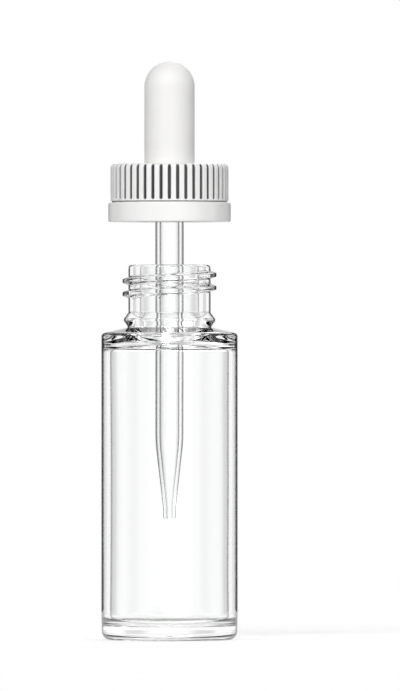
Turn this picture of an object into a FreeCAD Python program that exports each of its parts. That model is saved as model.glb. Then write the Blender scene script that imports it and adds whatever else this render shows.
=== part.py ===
import FreeCAD, Part
import math
import os

import Sketcher

# A 30 ml (1 oz) laboratory dropper bottle: a round glass bottle with a screw neck, and a
# dropper made of a ribbed cap, a rubber bulb, a glass pipette and a sealing washer.
# The origin is the centre of the base, on the surface it stands on, and +Z is up.
# Every piece of the dropper is drawn where it sits with the cap screwed home, and its
# Placement then lifts it straight out of the neck by "lift".

# Driving dimensions, in millimetres, with counts and turns as plain numbers.
DIMENSIONS = {
    # bottle body
    "body_radius": 14.45,
    "shoulder_edge": 65.2,
    "shoulder_top": 66.4,
    "base_corner_radius": 2.3,
    "shoulder_corner_radius": 0.9,
    "push_up": 0.9,
    "bearing_inner_radius": 10.6,
    # inside of the bottle
    "cavity_radius": 12.65,
    "cavity_floor_middle": 3.4,
    "cavity_floor_edge": 2.8,
    "cavity_floor_corner": 2.0,
    "cavity_shoulder_edge": 62.9,
    "cavity_shoulder_top": 65.4,
    "cavity_shoulder_corner": 2.2,
    # neck
    "neck_radius": 8.7,
    "neck_bore_radius": 6.2,
    "neck_top": 79.75,
    "neck_rim_radius": 0.7,
    "neck_bore_rim_radius": 0.6,
    "bead_radius": 9.68,
    "bead_bottom": 66.6,
    "bead_top": 69.6,
    "bead_middle": 68.0,
    "bead_half_land": 0.3,
    "bead_rounding": 0.25,
    "bead_root_radius": 8.6,
    # screw thread, shared by the neck and the cap
    "thread_pitch": 2.75,
    "thread_turns": 1.5,
    "thread_low_end": 73.475,
    "thread_mesh_drop": 1.375,
    "neck_thread_radius": 9.95,
    "neck_thread_root_half": 0.9,
    "neck_thread_crest_half": 0.42,
    "thread_sink": 0.2,
    # cap
    "cap_height": 12.4,
    "cap_plate": 1.3,
    "cap_barrel_radius": 12.55,
    "cap_barrel_corner": 1.0,
    "cap_ring_radius": 13.03,
    "cap_ring_height": 4.1,
    "cap_ring_corner": 0.25,
    "cap_bore_radius": 10.3,
    "cap_recess_radius": 9.0,
    "cap_recess_margin": 0.15,
    "cap_hole_radius": 5.55,
    "cap_thread_radius": 9.15,
    "cap_thread_root_half": 0.55,
    "cap_thread_crest_half": 0.3,
    "groove_count": 44,
    "groove_floor_radius": 12.0,
    "groove_floor_half": 0.25,
    "groove_mouth_half": 0.35,
    "groove_end_gap": 0.35,
    # bulb
    "bulb_radius": 5.375,
    "bulb_height_above_cap": 21.7,
    "bulb_cavity_radius": 4.2,
    "bulb_grip_radius": 3.05,
    "bulb_grip_top": 87.0,
    "bulb_cavity_bottom": 88.0,
    "flange_radius": 8.75,
    "flange_thickness": 1.2,
    "flange_corner": 0.25,
    # pipette
    "pipette_radius": 3.0,
    "pipette_bore_radius": 2.1,
    "pipette_bead_radius": 3.7,
    "pipette_bead_bottom": 88.3,
    "pipette_bead_low": 88.9,
    "pipette_bead_high": 89.5,
    "pipette_top": 90.0,
    "pipette_tip": 7.8,
    "pipette_tip_land": 10.0,
    "pipette_taper_top": 24.0,
    "pipette_tip_radius": 1.35,
    "pipette_tip_bore_radius": 0.6,
    # sealing washer
    "washer_radius": 8.7,
    "washer_hole_radius": 3.15,
    "washer_thickness": 0.8,
    # how the pieces stack on the rim of the neck, and how far the dropper is lifted
    "stack_gap": 0.05,
    "lift": 18.0,
}

# Which point of a sketch edge a constraint means.
START, FINISH, CENTRE = 1, 2, 3

doc = FreeCAD.newDocument("dropper_bottle")


def make_sheet():
    """The spreadsheet that holds the driving dimensions, one alias a row."""
    sheet = doc.addObject("Spreadsheet::Sheet", "sizes")
    for row, (word, value) in enumerate(DIMENSIONS.items(), start=1):
        sheet.set(f"A{row}", word)
        sheet.set(f"B{row}", str(value))
        sheet.setAlias(f"B{row}", word)
    doc.recompute()
    return sheet


sheet = make_sheet()


def bind(thing, prop, formula):
    """Ties a property to the sheet by a formula: aliases and numbers with + and - between."""
    words = [f"sizes.{word}" if word in DIMENSIONS else word for word in formula.split()]
    thing.setExpression(prop, " ".join(words))


def value(formula):
    """What a formula comes to. A leading ~ only marks it as a first guess."""
    total, sign = 0.0, 1
    for word in formula.strip("~").split():
        if word in "+-":
            sign = 1 if word == "+" else -1
        else:
            total += sign * (getattr(sheet, word) if word in DIMENSIONS else float(word))
    return total


def new_body(label):
    body = doc.addObject("PartDesign::Body", label)
    body.Label = label
    return body


def origin_feature(body, role):
    return next(f for f in body.Origin.OriginFeatures if f.Role == role)


def new_sketch(body, name, plane="XZ_Plane"):
    sketch = body.newObject("Sketcher::SketchObject", name)
    sketch.AttachmentSupport = [(origin_feature(body, plane), "")]
    sketch.MapMode = "FlatFace"
    return sketch


def pin_point(sketch, edge, end, corner):
    """Holds one end of an edge at a corner's two formulas, except one marked ~."""
    for kind, formula in zip(("DistanceX", "DistanceY"), corner):
        if formula.startswith("~"):
            continue
        name = f"{kind}_{edge}_{end}"
        held = Sketcher.Constraint(kind, -1, 1, edge, end, value(formula))
        sketch.renameConstraint(sketch.addConstraint(held), name)
        bind(sketch, f"Constraints.{name}", formula)


def add_edge(sketch, here, there, centre):
    """Adds a straight edge, or an arc about a centre, and says which end lies at each corner."""
    if centre is None:
        sketch.addGeometry(Part.LineSegment(here, there), False)
        return START, FINISH
    middle = FreeCAD.Vector(*map(value, centre), 0)
    angles = [math.atan2(point.y - middle.y, point.x - middle.x) for point in (here, there)]
    circle = Part.Circle(middle, FreeCAD.Vector(0, 0, 1), (here - middle).Length)
    edge = sketch.addGeometry(Part.ArcOfCircle(circle, min(angles), max(angles)), False)
    pin_point(sketch, edge, CENTRE, centre)
    return (START, FINISH) if angles[0] < angles[1] else (FINISH, START)


def closed_outline(sketch, corners, arcs=None):
    """A closed outline through corners, each two formulas. arcs gives the centre of the
    arc that leaves a corner, by the corner's number; the other edges are straight."""
    points = [FreeCAD.Vector(*map(value, corner), 0) for corner in corners]
    count = len(points)
    ends = []
    for i in range(count):
        centre = (arcs or {}).get(i)
        ends.append(add_edge(sketch, points[i], points[(i + 1) % count], centre))
    for i in range(count):
        following = (i + 1) % count
        joined = Sketcher.Constraint("Coincident", i, ends[i][1], following, ends[following][0])
        sketch.addConstraint(joined)
        pin_point(sketch, i, ends[i][0], corners[i])


def revolve(body, sketch, name):
    turned = body.newObject("PartDesign::Revolution", name)
    turned.Profile = sketch
    turned.ReferenceAxis = (sketch, ["V_Axis"])
    turned.Angle = 360
    doc.recompute()
    return turned


def ring_edges(feature, rings):
    """Names of a feature's round edges about Z at the given (radius, height) formulas."""
    names = []
    for i, edge in enumerate(feature.Shape.Edges, start=1):
        if edge.Degenerated or not isinstance(edge.Curve, Part.Circle):
            continue
        for radius, height in rings:
            near_radius = abs(edge.Curve.Radius - value(radius)) < 1e-4
            near_height = abs(edge.Curve.Center.z - value(height)) < 1e-4
            if near_radius and near_height:
                names.append(f"Edge{i}")
    if len(names) < len(rings):
        raise RuntimeError(f"{feature.Name}: {len(names)} edges found for {len(rings)} rings")
    return names


def round_edges(body, feature, name, radius, rings):
    fillet = body.newObject("PartDesign::Fillet", name)
    fillet.Base = (feature, ring_edges(feature, rings))
    bind(fillet, "Radius", radius)
    doc.recompute()
    return fillet


def add_thread(body, name, corners):
    """A right-handed screw ridge: its section stands on the -X side and climbs by the pitch."""
    sketch = new_sketch(body, f"{name}_section")
    closed_outline(sketch, corners)
    ridge = body.newObject("PartDesign::AdditiveHelix", name)
    ridge.Profile = sketch
    ridge.ReferenceAxis = (sketch, ["V_Axis"])
    ridge.Mode = "pitch-turns-angle"
    ridge.LeftHanded = False
    ridge.Reversed = False
    ridge.Angle = 0
    bind(ridge, "Pitch", "thread_pitch")
    bind(ridge, "Turns", "thread_turns")
    doc.recompute()
    return ridge


def lift_out(body):
    """Lifts a piece of the dropper from its closed place to where it rests."""
    bind(body, "Placement.Base.z", "lift")


# Heights of the stack on the rim of the neck, with the cap screwed home.
WASHER_BOTTOM = "neck_top + stack_gap"
FLANGE_BOTTOM = f"{WASHER_BOTTOM} + washer_thickness + stack_gap"
FLANGE_TOP = f"{FLANGE_BOTTOM} + flange_thickness"
PLATE_BOTTOM = f"{FLANGE_TOP} + stack_gap"
CAP_TOP = f"{PLATE_BOTTOM} + cap_plate"
CAP_BOTTOM = f"{CAP_TOP} - cap_height"
RING_TOP = f"{CAP_BOTTOM} + cap_ring_height"


def make_bottle():
    body = new_body("bottle")
    sketch = new_sketch(body, "bottle_section")
    closed_outline(
        sketch,
        [
            ("0", "push_up"),
            ("bearing_inner_radius", "0"),
            ("body_radius", "0"),
            ("body_radius", "shoulder_edge"),
            ("bead_root_radius + stack_gap", "shoulder_top"),
            ("bead_root_radius", "bead_bottom"),
            ("bead_radius", "bead_middle - bead_half_land"),
            ("bead_radius", "bead_middle + bead_half_land"),
            ("neck_radius", "bead_top"),
            ("neck_radius", "neck_top"),
            ("neck_bore_radius", "neck_top"),
            ("neck_bore_radius", "cavity_shoulder_top"),
            ("cavity_radius", "cavity_shoulder_edge"),
            ("cavity_radius", "cavity_floor_edge"),
            ("0", "cavity_floor_middle"),
        ],
    )
    shape = revolve(body, sketch, "bottle_turned")
    shape = round_edges(
        body, shape, "base_rounding", "base_corner_radius", [("body_radius", "0")]
    )
    shape = round_edges(
        body, shape, "shoulder_rounding", "shoulder_corner_radius",
        [("body_radius", "shoulder_edge")],
    )
    shape = round_edges(
        body, shape, "floor_rounding", "cavity_floor_corner",
        [("cavity_radius", "cavity_floor_edge")],
    )
    shape = round_edges(
        body, shape, "inner_shoulder_rounding", "cavity_shoulder_corner",
        [("cavity_radius", "cavity_shoulder_edge")],
    )
    shape = round_edges(
        body, shape, "bead_rounded", "bead_rounding",
        [
            ("bead_radius", "bead_middle - bead_half_land"),
            ("bead_radius", "bead_middle + bead_half_land"),
        ],
    )
    shape = round_edges(
        body, shape, "rim_outside", "neck_rim_radius", [("neck_radius", "neck_top")]
    )
    round_edges(
        body, shape, "rim_inside", "neck_bore_rim_radius", [("neck_bore_radius", "neck_top")]
    )
    add_thread(
        body, "neck_thread",
        [
            ("0 - neck_radius + thread_sink", "thread_low_end - neck_thread_root_half"),
            ("0 - neck_radius", "thread_low_end - neck_thread_root_half"),
            ("0 - neck_thread_radius", "thread_low_end - neck_thread_crest_half"),
            ("0 - neck_thread_radius", "thread_low_end + neck_thread_crest_half"),
            ("0 - neck_radius", "thread_low_end + neck_thread_root_half"),
            ("0 - neck_radius + thread_sink", "thread_low_end + neck_thread_root_half"),
        ],
    )
    return body


def cut_grooves(body):
    """The grooves between the grip ribs: one, cut out through the cap's top edge and
    repeated about the axis."""
    sketch = new_sketch(body, "groove_section", "XY_Plane")
    bind(sketch, "AttachmentOffset.Base.z", f"{RING_TOP} + groove_end_gap")
    closed_outline(
        sketch,
        [
            ("groove_floor_radius", "0 - groove_floor_half"),
            ("cap_barrel_radius", "0 - groove_mouth_half"),
            ("cap_ring_radius", "0 - groove_mouth_half"),
            ("cap_ring_radius", "groove_mouth_half"),
            ("cap_barrel_radius", "groove_mouth_half"),
            ("groove_floor_radius", "groove_floor_half"),
        ],
    )
    uncut = body.Tip.Shape.Volume
    groove = body.newObject("PartDesign::Pocket", "groove")
    groove.Profile = sketch
    groove.Reversed = True
    bind(groove, "Length", "cap_height - cap_ring_height")
    doc.recompute()
    if groove.Shape.Volume >= uncut:
        raise RuntimeError("the groove cuts nothing")
    grooves = body.newObject("PartDesign::PolarPattern", "grooves")
    grooves.Originals = [groove]
    grooves.Axis = (origin_feature(body, "Z_Axis"), [""])
    grooves.Angle = 360
    bind(grooves, "Occurrences", "groove_count")
    body.Tip = grooves
    doc.recompute()


def make_cap():
    body = new_body("cap")
    sketch = new_sketch(body, "cap_section")
    recess_bottom = f"{WASHER_BOTTOM} + cap_recess_margin"
    closed_outline(
        sketch,
        [
            ("cap_hole_radius", CAP_TOP),
            ("cap_barrel_radius", CAP_TOP),
            ("cap_barrel_radius", RING_TOP),
            ("cap_ring_radius", RING_TOP),
            ("cap_ring_radius", CAP_BOTTOM),
            ("cap_bore_radius", CAP_BOTTOM),
            ("cap_bore_radius", recess_bottom),
            ("cap_recess_radius", recess_bottom),
            ("cap_recess_radius", PLATE_BOTTOM),
            ("cap_hole_radius", PLATE_BOTTOM),
        ],
    )
    shape = revolve(body, sketch, "cap_turned")
    shape = round_edges(
        body, shape, "cap_top_rounding", "cap_barrel_corner", [("cap_barrel_radius", CAP_TOP)]
    )
    round_edges(
        body, shape, "cap_ring_rounding", "cap_ring_corner",
        [("cap_ring_radius", RING_TOP), ("cap_ring_radius", CAP_BOTTOM)],
    )
    low_end = "thread_low_end - thread_mesh_drop"
    add_thread(
        body, "cap_thread",
        [
            ("0 - cap_bore_radius - thread_sink", f"{low_end} - cap_thread_root_half"),
            ("0 - cap_bore_radius", f"{low_end} - cap_thread_root_half"),
            ("0 - cap_thread_radius", f"{low_end} - cap_thread_crest_half"),
            ("0 - cap_thread_radius", f"{low_end} + cap_thread_crest_half"),
            ("0 - cap_bore_radius", f"{low_end} + cap_thread_root_half"),
            ("0 - cap_bore_radius - thread_sink", f"{low_end} + cap_thread_root_half"),
        ],
    )
    cut_grooves(body)
    lift_out(body)
    return body


def make_bulb():
    body = new_body("bulb")
    sketch = new_sketch(body, "bulb_section")
    dome = ("0", f"{CAP_TOP} + bulb_height_above_cap - bulb_radius")
    closed_outline(
        sketch,
        [
            ("bulb_grip_radius", FLANGE_BOTTOM),
            ("flange_radius", FLANGE_BOTTOM),
            ("flange_radius", FLANGE_TOP),
            ("bulb_radius", FLANGE_TOP),
            ("bulb_radius", dome[1]),
            ("0", f"~{dome[1]} + bulb_radius"),
            ("0", f"~{dome[1]} + bulb_cavity_radius"),
            ("bulb_cavity_radius", dome[1]),
            ("bulb_cavity_radius", "bulb_cavity_bottom"),
            ("bulb_grip_radius", "bulb_grip_top"),
        ],
        arcs={4: dome, 6: dome},
    )
    shape = revolve(body, sketch, "bulb_turned")
    round_edges(
        body, shape, "flange_rounding", "flange_corner",
        [("flange_radius", FLANGE_BOTTOM), ("flange_radius", FLANGE_TOP)],
    )
    lift_out(body)
    return body


def make_pipette():
    body = new_body("pipette")
    sketch = new_sketch(body, "pipette_section")
    closed_outline(
        sketch,
        [
            ("pipette_tip_bore_radius", "pipette_tip"),
            ("pipette_tip_radius", "pipette_tip"),
            ("pipette_tip_radius", "pipette_tip_land"),
            ("pipette_radius", "pipette_taper_top"),
            ("pipette_radius", "pipette_bead_bottom"),
            ("pipette_bead_radius", "pipette_bead_low"),
            ("pipette_bead_radius", "pipette_bead_high"),
            ("pipette_radius", "pipette_top"),
            ("pipette_bore_radius", "pipette_top"),
            ("pipette_bore_radius", "pipette_taper_top"),
            ("pipette_tip_bore_radius", "pipette_tip_land"),
        ],
    )
    revolve(body, sketch, "pipette_turned")
    lift_out(body)
    return body


def washer_cylinder(name, radius):
    """A plain cylinder as thick as the washer, where the washer lies."""
    solid = doc.addObject("Part::Cylinder", name)
    bind(solid, "Radius", radius)
    bind(solid, "Height", "washer_thickness")
    bind(solid, "Placement.Base.z", WASHER_BOTTOM)
    return solid


def make_sealing_washer():
    washer = doc.addObject("Part::Cut", "sealing_washer")
    washer.Label = "sealing_washer"
    washer.Base = washer_cylinder("washer_disc", "washer_radius")
    washer.Tool = washer_cylinder("washer_hole", "washer_hole_radius")
    lift_out(washer)
    return washer


def check_document():
    """Stops if any object of the document failed to build."""
    for thing in doc.Objects:
        if {"Invalid", "Error"} & set(thing.State):
            raise RuntimeError(f"{thing.Name} failed: {thing.State}")


def write_pieces(pieces):
    os.makedirs("parts", exist_ok=True)
    for piece in pieces:
        shape = piece.Shape
        if shape.isNull() or not shape.isValid() or len(shape.Solids) != 1:
            raise RuntimeError(f"{piece.Label} isn't one valid solid")
        shape.exportStep(f"parts/{piece.Label}.step")
        low, high = shape.BoundBox.ZMin, shape.BoundBox.ZMax
        print(f"{piece.Label}: {shape.Volume:.1f} mm3, z {low:.3f} to {high:.3f}")


pieces = [make_bottle(), make_cap(), make_bulb(), make_pipette(), make_sealing_washer()]
doc.recompute()
check_document()
write_pieces(pieces)
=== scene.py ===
import math

import bpy
import numpy as np
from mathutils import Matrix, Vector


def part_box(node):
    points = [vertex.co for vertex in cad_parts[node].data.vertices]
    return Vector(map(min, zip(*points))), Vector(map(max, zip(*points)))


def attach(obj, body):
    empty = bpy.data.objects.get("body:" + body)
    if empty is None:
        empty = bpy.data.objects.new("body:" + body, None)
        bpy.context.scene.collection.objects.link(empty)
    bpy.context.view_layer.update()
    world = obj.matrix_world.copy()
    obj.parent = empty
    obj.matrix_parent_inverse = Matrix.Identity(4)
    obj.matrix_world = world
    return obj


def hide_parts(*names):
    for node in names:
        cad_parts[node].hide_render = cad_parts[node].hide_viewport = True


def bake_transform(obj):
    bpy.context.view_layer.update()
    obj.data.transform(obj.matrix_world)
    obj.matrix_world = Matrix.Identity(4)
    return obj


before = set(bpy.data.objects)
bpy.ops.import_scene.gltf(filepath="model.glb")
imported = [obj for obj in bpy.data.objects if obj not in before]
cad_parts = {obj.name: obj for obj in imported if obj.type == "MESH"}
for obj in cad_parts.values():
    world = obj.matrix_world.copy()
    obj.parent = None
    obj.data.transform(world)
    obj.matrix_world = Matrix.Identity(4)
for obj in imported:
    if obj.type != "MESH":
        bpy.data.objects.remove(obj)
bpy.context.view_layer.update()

# Looks for a laboratory dropper bottle: a clear glass bottle with a screw neck, and its
# dropper, lifted part-way out. Lengths are in millimetres until a mesh is made, and two that
# differ by less than TINY are the same.
MM = 0.001
TINY = 1e-6


def node_box(node):
    """Lowest and highest corner of a CAD node, in millimetres."""
    low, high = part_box(node)
    return low / MM, high / MM


def span(node):
    """A node's radius about the axis, and its bottom and top heights, in millimetres."""
    low, high = node_box(node)
    return (high.x - low.x) / 2, low.z, high.z


BODY_R, _, RIM_Z = span("bottle")
RING_R, CAP_LOW, CAP_TOP = span("cap")
FLANGE_R, FLANGE_LOW, BULB_TOP = span("bulb")
ROLL_R, TIP_Z, PIPETTE_TOP = span("pipette")
WASHER_R, WASHER_LOW, WASHER_TOP = span("sealing_washer")

# Screw thread. Both ridges are 1.5 turns long and climb anticlockwise from the -X side. Once
# the dropper is home, the cap's ridge runs half a pitch below the neck's.
PITCH = 2.75
TURNS = 1.5
THREAD_START = math.pi
NECK_THREAD_LOW = RIM_Z - 6.275
CAP_THREAD_LOW = WASHER_LOW - 7.7


# --------------------------------------------------------------------------- outlines

# How much of a straight run the rounding at one end may take
MOST_OF_RUN = 0.49


def arc_through(before, corner, after, radius, step):
    """Points of the arc that rounds a corner of an outline, from tangent to tangent, with
    step degrees between them at most."""
    before, corner, after = map(np.array, (before, corner, after))
    to_before, to_after = before - corner, after - corner
    reach_before, reach_after = np.linalg.norm(to_before), np.linalg.norm(to_after)
    to_before, to_after = to_before / reach_before, to_after / reach_after
    half = math.acos(float(np.clip(to_before @ to_after, -1, 1))) / 2
    most = MOST_OF_RUN * min(reach_before, reach_after)
    back = min(radius / math.tan(half), most)
    radius = back * math.tan(half)
    bisector = to_before + to_after
    centre = corner + bisector / np.linalg.norm(bisector) * radius / math.sin(half)
    first, last = corner + to_before * back, corner + to_after * back
    start = math.atan2(*(first - centre)[::-1])
    turn = math.atan2(*(last - centre)[::-1]) - start
    turn = (turn + math.pi) % (2 * math.pi) - math.pi
    count = max(3, math.ceil(abs(turn) / math.radians(step)))
    angles = start + turn * np.arange(count + 1) / count
    return centre + radius * np.stack([np.cos(angles), np.sin(angles)], axis=1)


def outline(corners, closed, step=7.5, longest=3.0, hold=0.12):
    """The points of an outline through (radius, height, rounding) corners. Straight runs
    are divided, with a point held close to each end, so that shading stays flat on them."""
    count = len(corners)
    pieces = []
    for i, (r, z, rounding) in enumerate(corners):
        at_end = not closed and i in (0, count - 1)
        if rounding and not at_end:
            before, after = corners[i - 1][:2], corners[(i + 1) % count][:2]
            pieces.append(arc_through(before, (r, z), after, rounding, step))
        else:
            pieces.append(np.array([(r, z)], float))
    points = []
    for i, piece in enumerate(pieces):
        points.extend(piece)
        if not closed and i == count - 1:
            break
        here, there = piece[-1], pieces[(i + 1) % count][0]
        length = float(np.linalg.norm(there - here))
        if length < 4 * hold:
            continue
        inner = max(1, math.ceil((length - 2 * hold) / longest))
        for along in np.linspace(hold, length - hold, inner + 1):
            points.append(here + (there - here) * along / length)
    return np.array(points)


def with_rows(points, low, high, spacing, outer=True):
    """An outline with extra points on its upright runs between two heights: the ones that
    climb, on the outside, or else the ones that go down, on the inside."""
    made = [points[0]]
    for here, there in zip(points, points[1:]):
        upright = abs(here[0] - there[0]) < TINY and abs(here[1] - there[1]) > spacing
        middle = (here[1] + there[1]) / 2
        if upright and low < middle < high and (here[1] < there[1]) == outer:
            count = math.ceil(abs(there[1] - here[1]) / spacing)
            for k in range(1, count):
                made.append(here + (there - here) * k / count)
        made.append(there)
    return np.array(made)


# --------------------------------------------------------------------------- meshes


def even_angles(count):
    return np.arange(count) * 2 * math.pi / count


def lathe(name, points, angles, shape=None, closed=False):
    """Turns an outline about Z. shape(radius, height, angle) may move the points; it gets
    arrays with a row per outline point and a column per angle, and returns them with a
    third, how much painted shade each point gets where it lies deep in a groove, which the
    mesh keeps for its material."""
    rows, columns = len(points), len(angles)
    radius = np.repeat(points[:, :1], columns, axis=1)
    height = np.repeat(points[:, 1:], columns, axis=1)
    angle = np.repeat(angles[None, :], rows, axis=0)
    painted_shade = np.zeros_like(radius)
    if shape:
        radius, height, painted_shade = shape(radius, height, angle)
    on_axis = points[:, 0] < TINY
    vertices, first = [], []
    for i in range(rows):
        first.append(len(vertices))
        for k in range(1 if on_axis[i] else columns):
            r, z, a = radius[i, k], height[i, k], angle[i, k]
            vertices.append((r * math.cos(a) * MM, r * math.sin(a) * MM, z * MM))
    faces = []
    for i in range(rows if closed else rows - 1):
        j = (i + 1) % rows
        for k in range(columns):
            m = (k + 1) % columns
            low = (first[i],) if on_axis[i] else (first[i] + k, first[i] + m)
            high = (first[j],) if on_axis[j] else (first[j] + m, first[j] + k)
            if len(low) + len(high) > 2:
                faces.append(low + high)
    mesh = bpy.data.meshes.new(name)
    mesh.from_pydata(vertices, [], faces)
    mesh.update()
    mesh.polygons.foreach_set("use_smooth", [True] * len(mesh.polygons))
    if painted_shade.any():
        depths = []
        for i in range(rows):
            depths.extend(painted_shade[i, : 1 if on_axis[i] else columns])
        kept = mesh.attributes.new("painted_shade", "FLOAT", "POINT")
        kept.data.foreach_set("value", depths)
    piece = bpy.data.objects.new(name, mesh)
    bpy.context.scene.collection.objects.link(piece)
    return piece


def soft_step(x):
    """0 up to 0, 1 from 1 on, and a smooth rise between them."""
    x = np.clip(x, 0, 1)
    return x * x * (3 - 2 * x)


def off_angle(angle, middle):
    """The size of the angle between each angle and a middle one."""
    return np.abs((angle - middle + math.pi) % (2 * math.pi) - math.pi)


def screw_ridge(angle, height, low_end, root_half, crest_half, run_out):
    """How far up a screw ridge each point is, from 0 at its root to 1 on its crest. The
    ridge fades out over run_out of a turn past each of its ends."""
    best = np.zeros_like(height)
    for turn in range(-1, int(TURNS) + 2):
        along = (angle - THREAD_START) / (2 * math.pi) + turn
        off = np.abs(height - (low_end + PITCH * along))
        section = soft_step((root_half - off) / (root_half - crest_half))
        ends = soft_step((along + run_out) / run_out)
        ends = ends * soft_step((TURNS + run_out - along) / run_out)
        best = np.maximum(best, section * ends)
    return best


# --------------------------------------------------------------------------- bottle

# Outside, from the base up: the push-up, the flat ring that it stands on, the heel, the
# shoulder, the transfer bead and the neck with its thread
PUSH_UP_Z, PUSH_UP_EDGE_R, PUSH_UP_EDGE_Z = 0.9, 7.5, 0.72
RING_INNER_R, HEEL_ROUNDING = 10.5, 2.3
SHOULDER_Z, SHOULDER_TOP_R, SHOULDER_TOP_Z = 65.2, 9.35, 66.32
NECK_ROOT_R, NECK_ROOT_Z = 8.75, 66.45
BEAD_R, BEAD_Z, BEAD_FLAT_HALF = 9.68, 68.0, 0.25
NECK_R, NECK_LOW_Z, THREAD_R = 8.7, 69.6, 9.95
THREAD_ROWS_LOW, THREAD_ROW_GAP = 71.5, 0.1

# Inside
BORE_R, BORE_LOW_Z = 6.2, 65.4
CAVITY_R, CAVITY_TOP_Z, CAVITY_LOW_Z, CAVITY_FLOOR_Z = 12.65, 62.9, 2.8, 3.4

# What moulding leaves: two seams, short marks round the flat ring, and an uneven inner wall.
# WAVE_MOST is the most that the wall's waves add up to, so that they only ever thicken it.
SEAM_ANGLES = (0.0, math.pi)
SEAM_HALF, SEAM_HEIGHT = 0.16, 0.04
SEAM_LOW, SEAM_HIGH = 2.3, RIM_Z - 0.8
MARKS, MARK_DEPTH, MARK_TOP, MARK_ROW_GAP = 72, 0.09, 0.5, 0.12
MARK_INNER, MARK_OUTER = 10.9, 12.5
WAVE, WAVE_MOST = 0.02, 2.1
WAVE_LOW, WAVE_HIGH, WAVE_FADE = 6, 61, 8


def seam_columns(count):
    """Even angles, with closer ones about the two mould seams."""
    close = np.radians([-1.4, -0.8, -0.4, 0.4, 0.8, 1.4])
    extra = [seam + offset for seam in SEAM_ANGLES for offset in close]
    every = np.mod(np.concatenate([even_angles(count), extra]), 2 * math.pi)
    return np.unique(np.round(every, 6))


def bottle_shape(radius, height, angle):
    """Adds the thread, the mould seams, the marks under the base and the uneven inner wall."""
    outside = np.zeros_like(radius, bool)
    rim_row = int(np.argmax(height[:, 0]))
    outside[: rim_row + 1] = True
    on_neck = outside & (np.abs(radius - NECK_R) < TINY)
    ridge = screw_ridge(angle, height, NECK_THREAD_LOW, root_half=0.95, crest_half=0.36, run_out=0.07)
    radius = radius + np.where(on_neck, ridge * (THREAD_R - NECK_R), 0)
    on_side = outside & (height > SEAM_LOW) & (height < SEAM_HIGH)
    for seam in SEAM_ANGLES:
        arc = off_angle(angle, seam) * radius
        radius = radius + np.where(on_side, SEAM_HEIGHT * soft_step(1 - arc / SEAM_HALF), 0)
    middle, half = (MARK_INNER + MARK_OUTER) / 2, (MARK_OUTER - MARK_INNER) / 2
    in_ring = outside & (height < MARK_TOP)
    mark = soft_step(2 * (1 - np.abs(radius - middle) / half)) * (1 - np.cos(angle * MARKS)) / 2
    height = height + np.where(in_ring, MARK_DEPTH * mark, 0)
    from_floor = np.clip((height - WAVE_LOW) / WAVE_FADE, 0, 1)
    from_shoulder = np.clip((WAVE_HIGH - height) / WAVE_FADE, 0, 1)
    wave = np.sin(2 * angle + height / 17) + 0.6 * np.sin(3 * angle - height / 11 + 1.3)
    wave = wave + 0.5 * np.sin(height / 6.3 + np.sin(angle))
    thicker = WAVE * (wave + WAVE_MOST) * (from_floor * from_shoulder)
    radius = radius - np.where(~outside, thicker, 0)
    return radius, height, np.zeros_like(radius)


def with_mark_rows(points):
    """An outline with its flat ring, the run at height 0, divided finely for the marks."""
    flat = [i for i, point in enumerate(points) if point[1] < TINY]
    first, last = flat[0], flat[-1]
    radii = np.arange(points[first][0] + MARK_ROW_GAP, points[last][0], MARK_ROW_GAP)
    between = np.stack([radii, np.zeros_like(radii)], axis=1)
    return np.concatenate([points[: first + 1], between, points[last:]])


def make_bottle():
    corners = [
        (0, PUSH_UP_Z, 0),
        (PUSH_UP_EDGE_R, PUSH_UP_EDGE_Z, 6.0),
        (RING_INNER_R, 0, 0.9),
        (BODY_R, 0, HEEL_ROUNDING),
        (BODY_R, SHOULDER_Z, 0.9),
        (SHOULDER_TOP_R, SHOULDER_TOP_Z, 0.5),
        (NECK_ROOT_R, NECK_ROOT_Z, 0.25),
        (BEAD_R, BEAD_Z - BEAD_FLAT_HALF, 0.55),
        (BEAD_R, BEAD_Z + BEAD_FLAT_HALF, 0.55),
        (NECK_R, NECK_LOW_Z, 0.35),
        (NECK_R, RIM_Z, 0.7),
        (BORE_R, RIM_Z, 0.6),
        (BORE_R, BORE_LOW_Z, 2.2),
        (CAVITY_R, CAVITY_TOP_Z, 2.6),
        (CAVITY_R, CAVITY_LOW_Z, 2.2),
        (0, CAVITY_FLOOR_Z, 0),
    ]
    points = outline(corners, closed=False, step=6)
    points = with_rows(points, THREAD_ROWS_LOW, RIM_Z - 0.7, THREAD_ROW_GAP)
    points = with_mark_rows(points)
    bottle = lathe("bottle_glass", points, seam_columns(288), bottle_shape)
    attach(bottle, "bottle")
    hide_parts("bottle")
    return bottle


# --------------------------------------------------------------------------- cap

# A plain ring at the bottom, a narrow step above it that is painted dark as shade, and a
# barrel with grooves between its ribs, painted darker as they deepen. Half widths are measured
# from the middle of a groove, and the rib's edge eases into the groove over MOUTH_EASE more.
CAP_R, CAP_BORE_R, CAP_THREAD_R = 12.55, 10.3, 9.15
RING_TOP = CAP_LOW + 4.1
STEP_GAP, STEP_DEPTH = 0.35, 0.3
STEP_TOP = RING_TOP + STEP_GAP
GROOVES, GROOVE_FLOOR_R, GROOVE_ABOVE_STEP = 44, 12.0, 0.25
GROOVE_MOUTH_HALF, GROOVE_FLOOR_HALF, MOUTH_EASE = 0.36, 0.24, 0.03
# How fast the grooves' painted shade darkens with their depth
GROOVE_PAINTED_SHADE_GAIN = 1.4
BULB_HOLE_R, TOP_PLATE = 5.55, 1.3
RECESS_R, RECESS_ABOVE_WASHER_LOW = 9.0, 0.15


def groove_columns():
    """Angles that follow the sides of every groove between the ribs."""
    half_pitch = math.pi * CAP_R / GROOVES
    side = np.array([0.2, 0.26, 0.32, 0.38, 0.5])
    offsets = np.concatenate([-side[::-1], [0.0], side, [half_pitch]]) / CAP_R
    return np.concatenate([2 * math.pi * k / GROOVES + offsets for k in range(GROOVES)])


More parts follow.
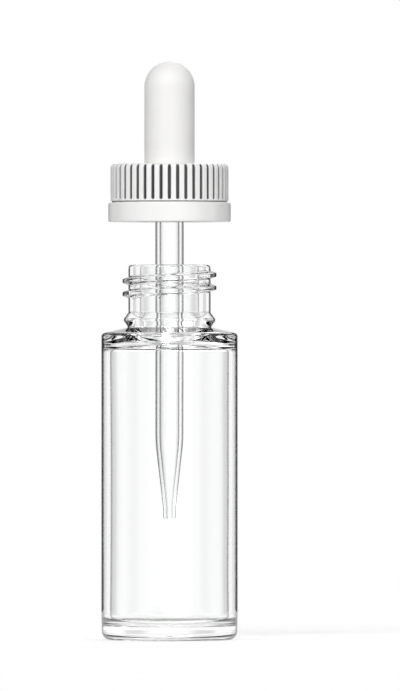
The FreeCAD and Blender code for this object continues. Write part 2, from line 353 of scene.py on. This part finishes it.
def cap_shape(radius, height, angle):
    """Cuts the grooves out of the barrel, with round lower ends, and raises the thread in
    the bore. The grooves get painted shade, darker as they deepen, and the step gets it in full."""
    pitch = 2 * math.pi / GROOVES
    off = np.abs((angle + pitch / 2) % pitch - pitch / 2) * CAP_R
    end = STEP_TOP + GROOVE_ABOVE_STEP + GROOVE_MOUTH_HALF
    below = np.clip(end - height, 0, None)
    reach = np.sqrt(off**2 + below**2)
    mouth = GROOVE_MOUTH_HALF + MOUTH_EASE
    open_share = soft_step((mouth - reach) / (mouth - GROOVE_FLOOR_HALF))
    floor = CAP_R - (CAP_R - GROOVE_FLOOR_R) * open_share
    on_barrel = (height > RING_TOP + 0.1) & (radius > CAP_BORE_R + 0.6)
    cut = np.where(on_barrel, np.clip(radius - floor, 0, None), 0)
    # Painted shade: the deeper a groove is cut, the darker it is painted, and the step is painted in
    # full shade
    painted_shade = soft_step(cut / (CAP_R - GROOVE_FLOOR_R) * GROOVE_PAINTED_SHADE_GAIN)
    in_step = on_barrel & (height < STEP_TOP) & (radius < CAP_R - 0.05)
    painted_shade = np.where(in_step, 1, painted_shade)
    radius = radius - cut
    in_bore = np.abs(radius - CAP_BORE_R) < TINY
    ridge = screw_ridge(angle, height, CAP_THREAD_LOW, root_half=0.6, crest_half=0.24, run_out=0.07)
    radius = radius - np.where(in_bore, ridge * (CAP_BORE_R - CAP_THREAD_R), 0)
    return radius, height, painted_shade


def make_cap():
    plate_low = CAP_TOP - TOP_PLATE
    recess_low = WASHER_LOW + RECESS_ABOVE_WASHER_LOW
    corners = [
        (CAP_BORE_R, CAP_LOW, 0.25),
        (RING_R, CAP_LOW, 0.3),
        (RING_R, RING_TOP, 0.3),
        (CAP_R - STEP_DEPTH, RING_TOP, 0.06),
        (CAP_R - STEP_DEPTH, STEP_TOP, 0.06),
        (CAP_R, STEP_TOP, 0.12),
        (CAP_R, CAP_TOP, 1.0),
        (BULB_HOLE_R, CAP_TOP, 0.25),
        (BULB_HOLE_R, plate_low, 0.2),
        (RECESS_R, plate_low, 0.15),
        (RECESS_R, recess_low, 0.15),
        (CAP_BORE_R, recess_low, 0.15),
    ]
    points = outline(corners, closed=True, step=15, longest=1.6)
    groove_ends_low, groove_ends_high = CAP_LOW + 4.4, CAP_LOW + 5.6
    points = with_rows(points, groove_ends_low, groove_ends_high, spacing=0.1)
    points = with_rows(points, CAP_LOW, recess_low, spacing=0.16, outer=False)
    cap = lathe("screw_cap", points, groove_columns(), cap_shape, closed=True)
    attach(cap, "cap")
    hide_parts("cap")
    return cap


# --------------------------------------------------------------------------- dropper

# The bulb: its lower part grips the pipette, and its flange lies under the cap's top plate
BULB_R, BULB_CAVITY_R, BULB_GRIP_R = 5.375, 4.2, 3.05
FLANGE_THICK, GRIP_LENGTH, CAVITY_ABOVE_FLANGE_LOW = 1.2, 6.35, 7.35
BULB_SEAMS = (math.pi / 2, 3 * math.pi / 2)
BULB_SEAM_HALF, BULB_SEAM_HEIGHT = 0.22, 0.035


def dome(radius, centre_z, count):
    """A quarter circle of count points from the side up to the axis."""
    angles = np.linspace(0, math.pi / 2, count)
    arc = np.stack([radius * np.cos(angles), centre_z + radius * np.sin(angles)], axis=1)
    arc[-1, 0] = 0
    return arc


def bulb_columns():
    """Even angles, with closer ones about the bulb's two mould seams."""
    close = np.radians([-3.0, -1.8, -1.2, -0.6, 0.6, 1.2, 1.8, 3.0])
    extra = [seam + offset for seam in BULB_SEAMS for offset in close]
    return np.unique(np.round(np.concatenate([even_angles(144), extra]), 6))


def bulb_shape(radius, height, angle):
    """Rubber left a hair smaller than its mould, with the mould's two fine seams."""
    outside = (height > CAP_TOP + 0.2) & (radius > BULB_CAVITY_R + 0.2)
    for seam in BULB_SEAMS:
        arc = off_angle(angle, seam) * radius
        ridge = BULB_SEAM_HEIGHT * (soft_step(1 - arc / BULB_SEAM_HALF) - 1) / 2
        radius = radius + np.where(outside, ridge, 0)
    return radius, height, np.zeros_like(radius)


def make_bulb():
    centre_z = BULB_TOP - BULB_R
    flange_top = FLANGE_LOW + FLANGE_THICK
    grip_top, cavity_low = FLANGE_LOW + GRIP_LENGTH, FLANGE_LOW + CAVITY_ABOVE_FLANGE_LOW
    corners = [
        (BULB_CAVITY_R, centre_z, 0),
        (BULB_CAVITY_R, cavity_low, 0.5),
        (BULB_GRIP_R, grip_top, 0.3),
        (BULB_GRIP_R, FLANGE_LOW, 0.3),
        (FLANGE_R, FLANGE_LOW, 0.3),
        (FLANGE_R, flange_top, 0.3),
        (BULB_R, flange_top, 0.15),
        (BULB_R, centre_z, 0),
    ]
    skirt = outline(corners, closed=False, longest=0.6)
    inner_dome, outer_dome = dome(BULB_CAVITY_R, centre_z, 20), dome(BULB_R, centre_z, 28)
    points = np.concatenate([inner_dome[::-1], skirt[1:], outer_dome[1:]])
    bulb = lathe("rubber_bulb", points, bulb_columns(), bulb_shape)
    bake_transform(bulb)
    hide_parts("bulb")
    return bulb


# The pipette: a thin straight tip, a long taper, the tube and a rolled rim inside the bulb.
# The tip and taper are measured up from its end, and the rim's slope down from its top.
PIPETTE_R, PIPETTE_BORE_R = 3.0, 2.1
PIPETTE_TIP_R, PIPETTE_TIP_BORE_R = 1.35, 0.6
TIP_LENGTH, TAPER_END = 2.2, 16.2
ROLL_SLOPE_LOW, ROLL_SLOPE_HIGH = 1.6, 1.35


def make_pipette():
    taper_low, taper_high = TIP_Z + TIP_LENGTH, TIP_Z + TAPER_END
    corners = [
        (PIPETTE_TIP_BORE_R, TIP_Z, 0.3),
        (PIPETTE_TIP_R, TIP_Z, 0.35),
        (PIPETTE_TIP_R, taper_low, 12.0),
        (PIPETTE_R, taper_high, 30.0),
        (PIPETTE_R, PIPETTE_TOP - ROLL_SLOPE_LOW, 0.3),
        (ROLL_R, PIPETTE_TOP - ROLL_SLOPE_HIGH, 0.45),
        (ROLL_R, PIPETTE_TOP, 0.7),
        (PIPETTE_BORE_R, PIPETTE_TOP, 0.6),
        (PIPETTE_BORE_R, taper_high, 30.0),
        (PIPETTE_TIP_BORE_R, taper_low, 12.0),
    ]
    points = outline(corners, closed=True, step=3.0)
    pipette = lathe("pipette_glass", points, even_angles(96), closed=True)
    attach(pipette, "dropper")
    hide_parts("pipette")
    return pipette


WASHER_HOLE_R = 3.15


def make_washer():
    corners = [
        (WASHER_HOLE_R, WASHER_LOW, 0.1),
        (WASHER_R, WASHER_LOW, 0.15),
        (WASHER_R, WASHER_TOP, 0.15),
        (WASHER_HOLE_R, WASHER_TOP, 0.1),
    ]
    points = outline(corners, closed=True, longest=0.8)
    washer = lathe("washer_ring", points, even_angles(128), closed=True)
    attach(washer, "dropper")
    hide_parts("sealing_washer")
    return washer


# --------------------------------------------------------------------------- materials

# The glass's clear colour, and black for its painted edge shade
CLEAR_GLASS, GLASS_EDGE_SHADE = (0.985, 0.99, 0.987), (0.0, 0.0, 0.0)
CAP_WHITE, CAP_SHADED = (0.88, 0.88, 0.875), (0.86, 0.86, 0.85)
# Near black painted shade for the cap's grooves and step
PAINTED_GROOVE_SHADE = (0.035, 0.035, 0.04)
RUBBER_WHITE, RUBBER_SHADED = (0.88, 0.875, 0.865), (0.84, 0.835, 0.825)
WASHER_WHITE, WASHER_SHADED = (0.8, 0.82, 0.83), (0.78, 0.8, 0.81)


def socket_of(sockets, identifier):
    """The Mix node has several sockets of each name. This finds one by its identifier."""
    return next(socket for socket in sockets if socket.identifier == identifier)


class Nodes:
    """A material's nodes, added one call at a time."""

    def __init__(self, name):
        self.material = bpy.data.materials.new(name)
        self.material.use_nodes = True
        self.tree = self.material.node_tree
        self.tree.nodes.clear()
        self.output = self.add("ShaderNodeOutputMaterial")
        self.where = self.add("ShaderNodeTexCoord").outputs["Object"]

    def add(self, kind, **sockets):
        """A new node, with its inputs given by name: a value, or a socket to link from."""
        node = self.tree.nodes.new(kind)
        for word, given in sockets.items():
            socket = node.inputs[word.replace("_", " ")]
            if isinstance(given, bpy.types.NodeSocket):
                self.tree.links.new(given, socket)
            else:
                socket.default_value = given
        return node

    def link(self, source, target):
        self.tree.links.new(source, target)

    def stretched(self, x, y, z):
        """Object coordinates, scaled by a number of features per metre each way."""
        node = self.add("ShaderNodeMapping", Vector=self.where)
        node.inputs["Scale"].default_value = (x, y, z)
        return node.outputs["Vector"]

    def noise(self, vector, scale=1.0, detail=2.0, roughness=0.5):
        node = self.add("ShaderNodeTexNoise", Vector=vector, Scale=scale, Detail=detail)
        node.inputs["Roughness"].default_value = roughness
        return node.outputs["Fac"]

    def remap(self, value, low, high):
        """A 0 to 1 value spread from low to high."""
        node = self.add("ShaderNodeMapRange", Value=value)
        node.inputs["To Min"].default_value = low
        node.inputs["To Max"].default_value = high
        return node.outputs["Result"]

    def colours(self, value, stops):
        """A colour ramp between two (place, colour) stops."""
        node = self.add("ShaderNodeValToRGB", Fac=value)
        for element, (place, colour) in zip(node.color_ramp.elements, stops):
            element.position = place
            element.color = (*colour, 1)
        return node.outputs["Color"]

    def bump(self, height, strength, distance):
        node = self.add("ShaderNodeBump", Height=height, Strength=strength, Distance=distance)
        return node.outputs["Normal"]


def glass(name, edge_from, edge_full, ripple, shade):
    """Clear soda-lime glass with faint ripples from the mould. Its colour darkens to black,
    as painted edge shade, from edge_from to edge_full, where 0 is seen face on and 1 edge on.
    In its shadow, the share of the lamps' light called shade is left."""
    n = Nodes(name)
    facing = n.add("ShaderNodeLayerWeight", Blend=0.5).outputs["Facing"]
    # The clear colour, with black painted edge shade where the glass is seen edge on
    tint_and_edge_shade = n.colours(facing, [(edge_from, CLEAR_GLASS), (edge_full, GLASS_EDGE_SHADE)])
    surface = n.add("ShaderNodeBsdfPrincipled", Base_Color=tint_and_edge_shade)
    surface.inputs["Transmission Weight"].default_value = 1.0
    surface.inputs["IOR"].default_value = 1.52
    surface.inputs["Roughness"].default_value = 0.0
    waves = n.noise(n.stretched(70, 70, 28), detail=2.5)
    n.link(n.bump(waves, strength=ripple, distance=0.0004), surface.inputs["Normal"])
    shadow = n.add("ShaderNodeBsdfTransparent")
    shadow.inputs["Color"].default_value = (shade, shade, shade, 1)
    mix = n.add("ShaderNodeMixShader")
    n.link(n.add("ShaderNodeLightPath").outputs["Is Shadow Ray"], mix.inputs[0])
    n.link(surface.outputs[0], mix.inputs[1])
    n.link(shadow.outputs[0], mix.inputs[2])
    n.link(mix.outputs[0], n.output.inputs["Surface"])
    return n.material


def moulded_plastic(name, colour, shaded):
    """White moulded polypropylene: a fine orange-peel skin and a satin shine. Painted shade
    makes it near black in the mesh's deep grooves, where a groove's bottom would be in shadow."""
    n = Nodes(name)
    tone = n.noise(n.stretched(90, 90, 60), detail=3)
    plain = n.colours(tone, [(0.3, shaded), (0.7, colour)])
    # Painted shade from the mesh mixes the plastic's tone towards near black in its grooves
    painted_shade = n.add("ShaderNodeAttribute")
    painted_shade.attribute_name = "painted_shade"
    base = n.add("ShaderNodeMix")
    base.data_type = "RGBA"
    n.link(painted_shade.outputs["Fac"], base.inputs["Factor"])
    n.link(plain, socket_of(base.inputs, "A_Color"))
    socket_of(base.inputs, "B_Color").default_value = (*PAINTED_GROOVE_SHADE, 1)
    mixed = socket_of(base.outputs, "Result_Color")
    surface = n.add("ShaderNodeBsdfPrincipled", Base_Color=mixed)
    skin = n.noise(n.stretched(1500, 1500, 1500), detail=3)
    shine = n.remap(n.noise(n.stretched(300, 300, 300)), 0.27, 0.42)
    n.link(shine, surface.inputs["Roughness"])
    n.link(n.bump(skin, strength=0.16, distance=0.00006), surface.inputs["Normal"])
    surface.inputs["IOR"].default_value = 1.49
    surface.inputs["Subsurface Weight"].default_value = 0.06
    surface.inputs["Subsurface Radius"].default_value = (0.0012, 0.0011, 0.001)
    n.link(surface.outputs[0], n.output.inputs["Surface"])
    return n.material


def soft_rubber(name, colour, shaded):
    """White bulb rubber: matt, with a powdery grain and slightly uneven tone."""
    n = Nodes(name)
    tone = n.noise(n.stretched(120, 120, 70), detail=4, roughness=0.6)
    base = n.colours(tone, [(0.3, shaded), (0.72, colour)])
    surface = n.add("ShaderNodeBsdfPrincipled", Base_Color=base)
    grain = n.noise(n.stretched(3200, 3200, 3200), detail=4, roughness=0.65)
    shine = n.remap(n.noise(n.stretched(500, 500, 500)), 0.5, 0.64)
    n.link(shine, surface.inputs["Roughness"])
    n.link(n.bump(grain, strength=0.3, distance=0.00008), surface.inputs["Normal"])
    surface.inputs["Subsurface Weight"].default_value = 0.12
    surface.inputs["Subsurface Radius"].default_value = (0.0018, 0.0016, 0.0014)
    surface.inputs["Sheen Weight"].default_value = 0.15
    n.link(surface.outputs[0], n.output.inputs["Surface"])
    return n.material


def dress(piece, material):
    piece.data.materials.clear()
    piece.data.materials.append(material)


# --------------------------------------------------------------------------- stage

# The camera looks at AIM from in front, and the picture is VIEW_HEIGHT metres high there
VIEW_DISTANCE, VIEW_HEIGHT, SENSOR = 3.0, 0.14684, 36.0
AIM = (6.48 * MM, 0.0, 62.56 * MM)

# How far the floor reaches each way and how near it is shaded, in metres, and its own light
FLOOR_REACH, FOOT_SHADE, FLOOR_GLOW = 0.3, 0.02, 0.42
PAPER_SHADED, PAPER = (0.69, 0.69, 0.69), (0.71, 0.71, 0.71)

# How many dark strips the studio has, how bright their middles are when seen through glass
# and when reflected, and how much of the room's light falls on matt surfaces
STRIPS, SOFT_STRIP, HARD_STRIP = 8.0, 0.7, 0.0
ROOM_LIGHT = 0.25


def make_camera():
    """A long lens, level, with the bottle left of the middle of the picture."""
    data = bpy.data.cameras.new("camera")
    data.sensor_width = SENSOR
    data.lens = SENSOR * VIEW_DISTANCE / VIEW_HEIGHT
    data.clip_start, data.clip_end = 0.05, 60
    camera = bpy.data.objects.new("camera", data)
    camera.location = (AIM[0], AIM[1] - VIEW_DISTANCE, AIM[2])
    camera.rotation_euler = (math.pi / 2, 0, 0)
    bpy.context.scene.collection.objects.link(camera)
    bpy.context.scene.camera = camera


def make_floor():
    """A pale floor, as bright away from the object as the backdrop that it runs into, and
    a little darker round the object's foot. It can be seen through from below, so that the
    underside shows."""
    mesh = bpy.data.meshes.new("floor")
    signs = ((-1, -1), (1, -1), (1, 1), (-1, 1))
    corners = [(x * FLOOR_REACH, y * FLOOR_REACH, 0) for x, y in signs]
    mesh.from_pydata(corners, [], [(0, 1, 2, 3)])
    floor = bpy.data.objects.new("floor", mesh)
    bpy.context.scene.collection.objects.link(floor)
    n = Nodes("floor_paper")
    tone = n.noise(n.where, scale=3.0, detail=3)
    base = n.colours(tone, [(0.3, PAPER_SHADED), (0.7, PAPER)])
    surface = n.add("ShaderNodeBsdfPrincipled", Base_Color=base, Roughness=0.9)
    surface.inputs["Specular IOR Level"].default_value = 0.1
    surface.inputs["Emission Color"].default_value = (1, 1, 1, 1)
    lights_others = n.add("ShaderNodeLightPath").outputs["Is Diffuse Ray"]
    glow = n.remap(lights_others, FLOOR_GLOW, 0.0)
    open_air = n.add("ShaderNodeAmbientOcclusion", Distance=FOOT_SHADE).outputs["AO"]
    shaded_glow = n.add("ShaderNodeMath")
    shaded_glow.operation = "MULTIPLY"
    n.link(glow, shaded_glow.inputs[0])
    n.link(open_air, shaded_glow.inputs[1])
    n.link(shaded_glow.outputs[0], surface.inputs["Emission Strength"])
    from_below = n.add("ShaderNodeNewGeometry").outputs["Backfacing"]
    one_sided = n.add("ShaderNodeMixShader")
    n.link(from_below, one_sided.inputs[0])
    n.link(surface.outputs[0], one_sided.inputs[1])
    n.link(n.add("ShaderNodeBsdfTransparent").outputs[0], one_sided.inputs[2])
    n.link(one_sided.outputs[0], n.output.inputs["Surface"])
    mesh.materials.append(n.material)


def make_world():
    """A white studio. Its reflections have dark upright strips in them, which draw the
    edges of glass, and they show faintly through glass, but not in the backdrop. Matt
    surfaces get a dimmer light from it, so that the lamps give them their shape."""
    world = bpy.data.worlds.new("studio")
    bpy.context.scene.world = world
    world.use_nodes = True
    tree = world.node_tree
    tree.nodes.clear()

    def math_node(operation, first, second=None):
        node = tree.nodes.new("ShaderNodeMath")
        node.operation = operation
        for socket, given in zip(node.inputs, (first, second)):
            if isinstance(given, bpy.types.NodeSocket):
                tree.links.new(given, socket)
            elif given is not None:
                socket.default_value = given
        return node.outputs[0]

    direction = tree.nodes.new("ShaderNodeTexCoord").outputs["Generated"]
    split = tree.nodes.new("ShaderNodeSeparateXYZ")
    tree.links.new(direction, split.inputs[0])
    bearing = math_node("ARCTAN2", split.outputs["X"], split.outputs["Y"])
    wave = math_node("COSINE", math_node("MULTIPLY", bearing, STRIPS))
    path = tree.nodes.new("ShaderNodeLightPath")

    def strips(low, high, darkest):
        """Brightness round the room: darkest where the wave is under low, 1 above high."""
        node = tree.nodes.new("ShaderNodeMapRange")
        node.interpolation_type = "SMOOTHSTEP"
        tree.links.new(wave, node.inputs["Value"])
        limits = (("From Min", low), ("From Max", high), ("To Min", darkest), ("To Max", 1.0))
        for word, number in limits:
            node.inputs[word].default_value = number
        return node.outputs[0]

    mirrored = math_node("SUBTRACT", 1.0, path.outputs["Is Transmission Ray"])
    soft, hard = strips(-1.0, 0.2, SOFT_STRIP), strips(-0.9, 0.6, HARD_STRIP)
    harder = math_node("MULTIPLY", mirrored, math_node("SUBTRACT", hard, soft))
    shown = math_node("MAXIMUM", math_node("ADD", soft, harder), path.outputs["Is Camera Ray"])
    dimmed = math_node("MULTIPLY", path.outputs["Is Diffuse Ray"], 1 - ROOM_LIGHT)
    strength = math_node("MULTIPLY", shown, math_node("SUBTRACT", 1.0, dimmed))
    background = tree.nodes.new("ShaderNodeBackground")
    output = tree.nodes.new("ShaderNodeOutputWorld")
    background.inputs["Color"].default_value = (1, 1, 1, 1)
    tree.links.new(strength, background.inputs["Strength"])
    tree.links.new(background.outputs[0], output.inputs["Surface"])


def soft_sun(name, bearing, height, strength, spread):
    """A lamp as soft as an overcast window. Bearing 0 is in front, and 90 is on the right."""
    data = bpy.data.lights.new(name, "SUN")
    data.energy = strength
    data.angle = math.radians(spread)
    lamp = bpy.data.objects.new(name, data)
    lamp.rotation_euler = (math.radians(90 - height), 0, math.radians(bearing))
    bpy.context.scene.collection.objects.link(lamp)


def main():
    make_camera()
    make_world()
    make_floor()
    soft_sun("key", bearing=-16, height=40, strength=2.2, spread=30)
    soft_sun("fill", bearing=20, height=15, strength=0.8, spread=50)
    soft_sun("rear", bearing=165, height=40, strength=0.7, spread=40)
    dress(make_bottle(), glass("flint_glass", edge_from=0.68, edge_full=0.81, ripple=0.04, shade=0.85))
    dress(make_pipette(), glass("tube_glass", edge_from=0.44, edge_full=0.6, ripple=0.02, shade=0.9))
    dress(make_cap(), moulded_plastic("white_plastic", CAP_WHITE, CAP_SHADED))
    dress(make_bulb(), soft_rubber("white_rubber", RUBBER_WHITE, RUBBER_SHADED))
    dress(make_washer(), moulded_plastic("washer_plastic", WASHER_WHITE, WASHER_SHADED))
    bpy.context.scene.view_settings.view_transform = "Standard"


main()
